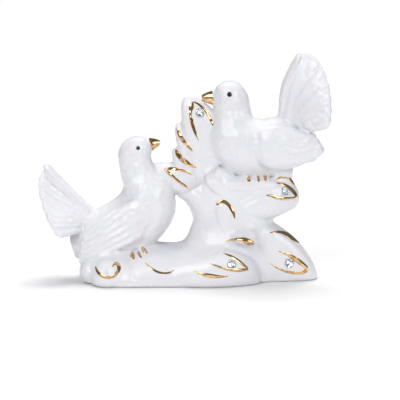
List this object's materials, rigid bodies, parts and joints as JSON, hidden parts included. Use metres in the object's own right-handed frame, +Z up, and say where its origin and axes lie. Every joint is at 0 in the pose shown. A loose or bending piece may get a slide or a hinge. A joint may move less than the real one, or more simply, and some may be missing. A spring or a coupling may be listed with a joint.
{
  "type": "dove statue",
  "caption": "Small glazed porcelain figurine of fantail doves on a scrolled wave of leaves, with painted gold lines and round stones set in its front.",
  "frame": {"origin": "middle of the flat underside, under the middle of the whole figurine's box", "axes": "+X to the right as the front is looked at, towards the higher dove's tail; +Y away from the viewer; +Z up"},
  "size_m": [0.1481, 0.0548, 0.116],
  "materials": {
    "white_porcelain": "glossy white glaze",
    "crystal": "clear faceted, foil behind",
    "gold_lustre": "thin bright gold lustre, fired on the glaze",
    "black_enamel": "glossy black dot"
  },
  "bodies": {
    "root": {"porcelain_doves": "white_porcelain", "rhinestone_plume": "crystal", "rhinestone_branch": "crystal", "rhinestone_tongue": "crystal", "rhinestone_base_leaf": "crystal"}
  },
  "joints": []
}
